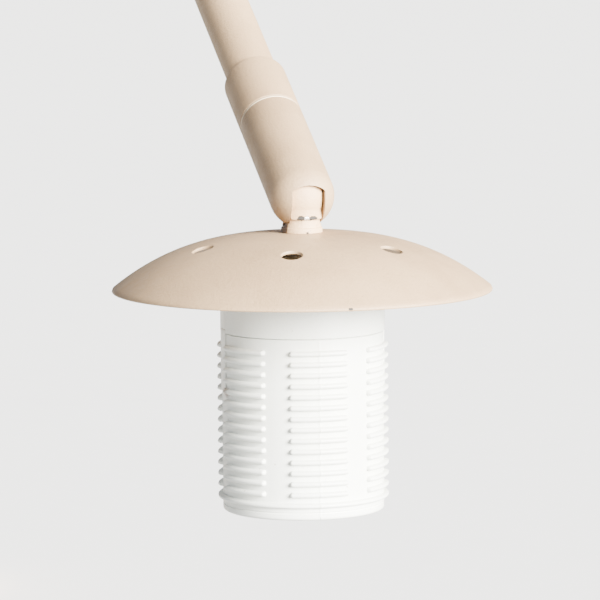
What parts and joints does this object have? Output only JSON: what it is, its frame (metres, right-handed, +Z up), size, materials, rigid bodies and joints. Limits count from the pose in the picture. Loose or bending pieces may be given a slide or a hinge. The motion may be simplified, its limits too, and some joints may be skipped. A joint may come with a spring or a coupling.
{
  "type": "architect desk lamp",
  "caption": "Desk lamp with a round cast base, tube arms on slotted ball knuckles with swivel collars, and a shallow shade over a ribbed white bulb sleeve.",
  "frame": {"origin": "centre of the flat underside of the base pad, on the table", "axes": "+Z up out of the table; +X horizontal, the way the lower arm leans at rest; the upper arm turns from +X towards -Y"},
  "size_m": [0.7487, 0.4888, 0.5357],
  "materials": {
    "beige_paint": "satin powder coat with a fine grain",
    "painted_iron": "the same satin beige paint over a casting",
    "rubber_pad": "matte",
    "black_plastic": "fine texture",
    "steel": "zinc plated",
    "fibre": "pressed fibre",
    "lead_sheath": "smooth",
    "brass": "turned",
    "white_plastic": "moulded, slightly aged",
    "holder_plastic": "moulded",
    "ceramic_block": "glazed",
    "bulb_metal": "drawn",
    "opal_glass": "opal"
  },
  "bodies": {
    "base": {"base_weight": "painted_iron", "base_pad": "rubber_pad", "cable_gland": "black_plastic", "switch_body": "black_plastic", "switch_bezel": "black_plastic", "base_collar": "beige_paint", "base_spindle": "steel", "base_nut": "steel", "base_swivel_washer": "white_plastic", "base_swivel_spring": "steel", "base_swivel_nut": "steel"},
    "button": {"switch_button": "black_plastic"},
    "shoulder": {"shoulder_housing": "beige_paint", "shoulder_pivot_screw": "steel", "shoulder_spring": "steel", "shoulder_friction_washers": "fibre", "shoulder_cap": "beige_paint"},
    "lower_arm": {"lower_neck": "beige_paint", "lower_tube": "beige_paint", "lower_lead": "lead_sheath", "elbow_collar": "beige_paint", "elbow_spindle": "steel", "elbow_swivel_washer": "white_plastic", "elbow_swivel_spring": "steel", "elbow_swivel_nut": "steel"},
    "elbow": {"elbow_housing": "beige_paint", "elbow_pivot_screw": "steel", "elbow_spring": "steel", "elbow_friction_washers": "fibre", "elbow_cap": "beige_paint"},
    "upper_arm": {"upper_neck": "beige_paint", "upper_tube": "beige_paint", "upper_lead": "lead_sheath", "head_collar": "beige_paint", "head_spindle": "steel", "head_swivel_washer": "white_plastic", "head_swivel_spring": "steel", "head_swivel_nut": "steel"},
    "head_knuckle": {"head_housing": "beige_paint", "head_pivot_screw": "steel", "head_spring": "steel", "head_friction_washers": "fibre", "head_cap": "beige_paint"},
    "head": {"head_neck": "beige_paint", "shade": "beige_paint", "nipple": "brass", "cup_spacer": "steel", "cup": "white_plastic", "cup_nut": "steel", "sleeve": "white_plastic", "holder_cap": "holder_plastic", "holder_body": "holder_plastic", "contact_block": "ceramic_block", "screw_shell": "brass", "bulb_cap": "bulb_metal", "bulb_glass": "opal_glass"}
  },
  "joints": [
    {"name": "button_press", "type": "slide", "parent": "base", "child": "button", "axis": [0, 0, -1], "range_m": [0, 0.003], "stiffness_N_per_m": 400},
    {"name": "base_swivel", "type": "hinge", "parent": "base", "child": "shoulder", "pos_m": [0, 0, 0.0969], "axis": [0, 0, 1], "range_deg": [-170, 170]},
    {"name": "shoulder_tilt", "type": "hinge", "parent": "shoulder", "child": "lower_arm", "pos_m": [0, 0, 0.0969], "axis": [0, 1, 0], "range_deg": [-31, 47]},
    {"name": "elbow_swivel", "type": "hinge", "parent": "lower_arm", "child": "elbow", "pos_m": [0.22535, 0, 0.52072], "axis": [0.4695, 0, 0.8829], "range_deg": [-150, 150]},
    {"name": "elbow_tilt", "type": "hinge", "parent": "elbow", "child": "upper_arm", "pos_m": [0.22535, 0, 0.52072], "axis": [0.5274, 0.802, -0.2804], "range_deg": [-101.2, 15.8]},
    {"name": "head_swivel", "type": "hinge", "parent": "upper_arm", "child": "head_knuckle", "pos_m": [0.52967, -0.28379, 0.28144], "axis": [0.634, -0.5912, -0.4985], "range_deg": [-150, 150]},
    {"name": "head_tilt", "type": "hinge", "parent": "head_knuckle", "child": "head", "pos_m": [0.52967, -0.28379, 0.28144], "axis": [0.682, 0.7314, 0], "range_deg": [-63.1, 24.9]}
  ]
}
